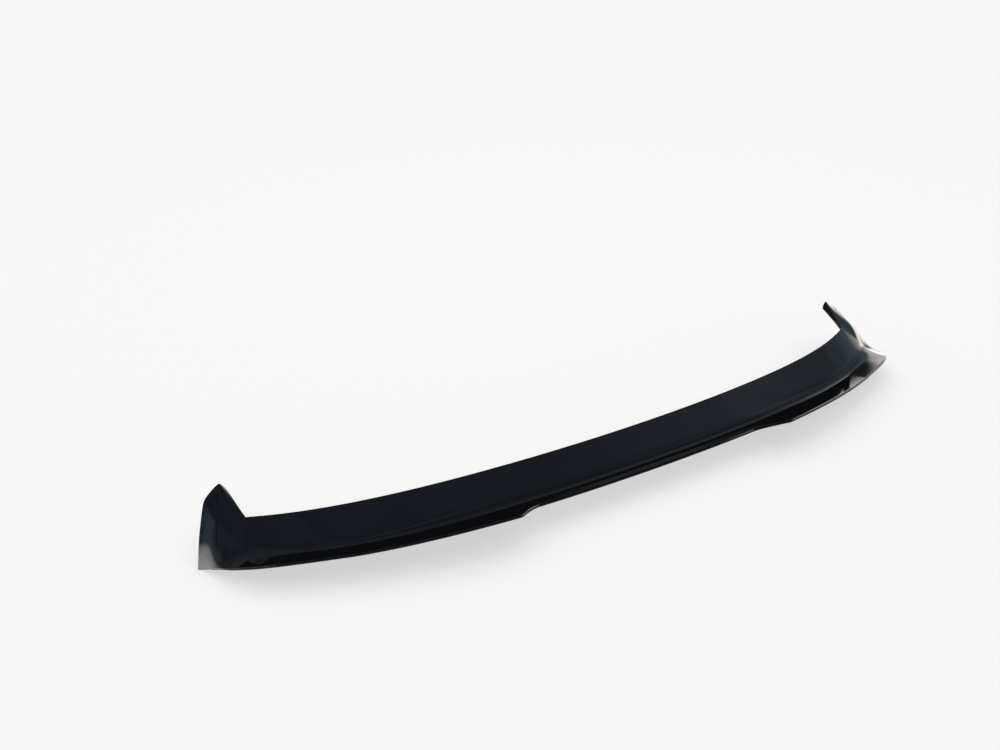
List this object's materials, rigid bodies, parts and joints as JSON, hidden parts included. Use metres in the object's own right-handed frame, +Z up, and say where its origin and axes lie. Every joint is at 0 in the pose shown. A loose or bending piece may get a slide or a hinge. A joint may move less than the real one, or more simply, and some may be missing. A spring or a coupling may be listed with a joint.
{
  "type": "roof spoiler cap",
  "caption": "Glossy black stick-on roof spoiler cap with a kicked-up notched tail, downturned end fins, forward legs and red-lined tape beneath.",
  "frame": {"origin": "middle of the bonding face of the long tape under the flange", "axes": "+X across the car towards its right, +Y towards the car's front, +Z up, as the cap sits on the car"},
  "size_m": [1.195, 0.2335, 0.0799],
  "materials": {
    "gloss_abs": "gloss black ABS sheet",
    "matte_abs": "matte black ABS sheet",
    "adhesive": "cured black adhesive",
    "foam": "dark red acrylic foam tape",
    "liner": "red release liner film"
  },
  "bodies": {
    "root": {"top_shell": "gloss_abs", "lower_skin": "matte_abs", "bond_bead": "adhesive", "tape_rear": "foam", "tape_leg_left": "foam", "tape_leg_right": "foam", "liner_rear": "liner", "liner_leg_left": "liner", "liner_leg_right": "liner"}
  },
  "joints": []
}
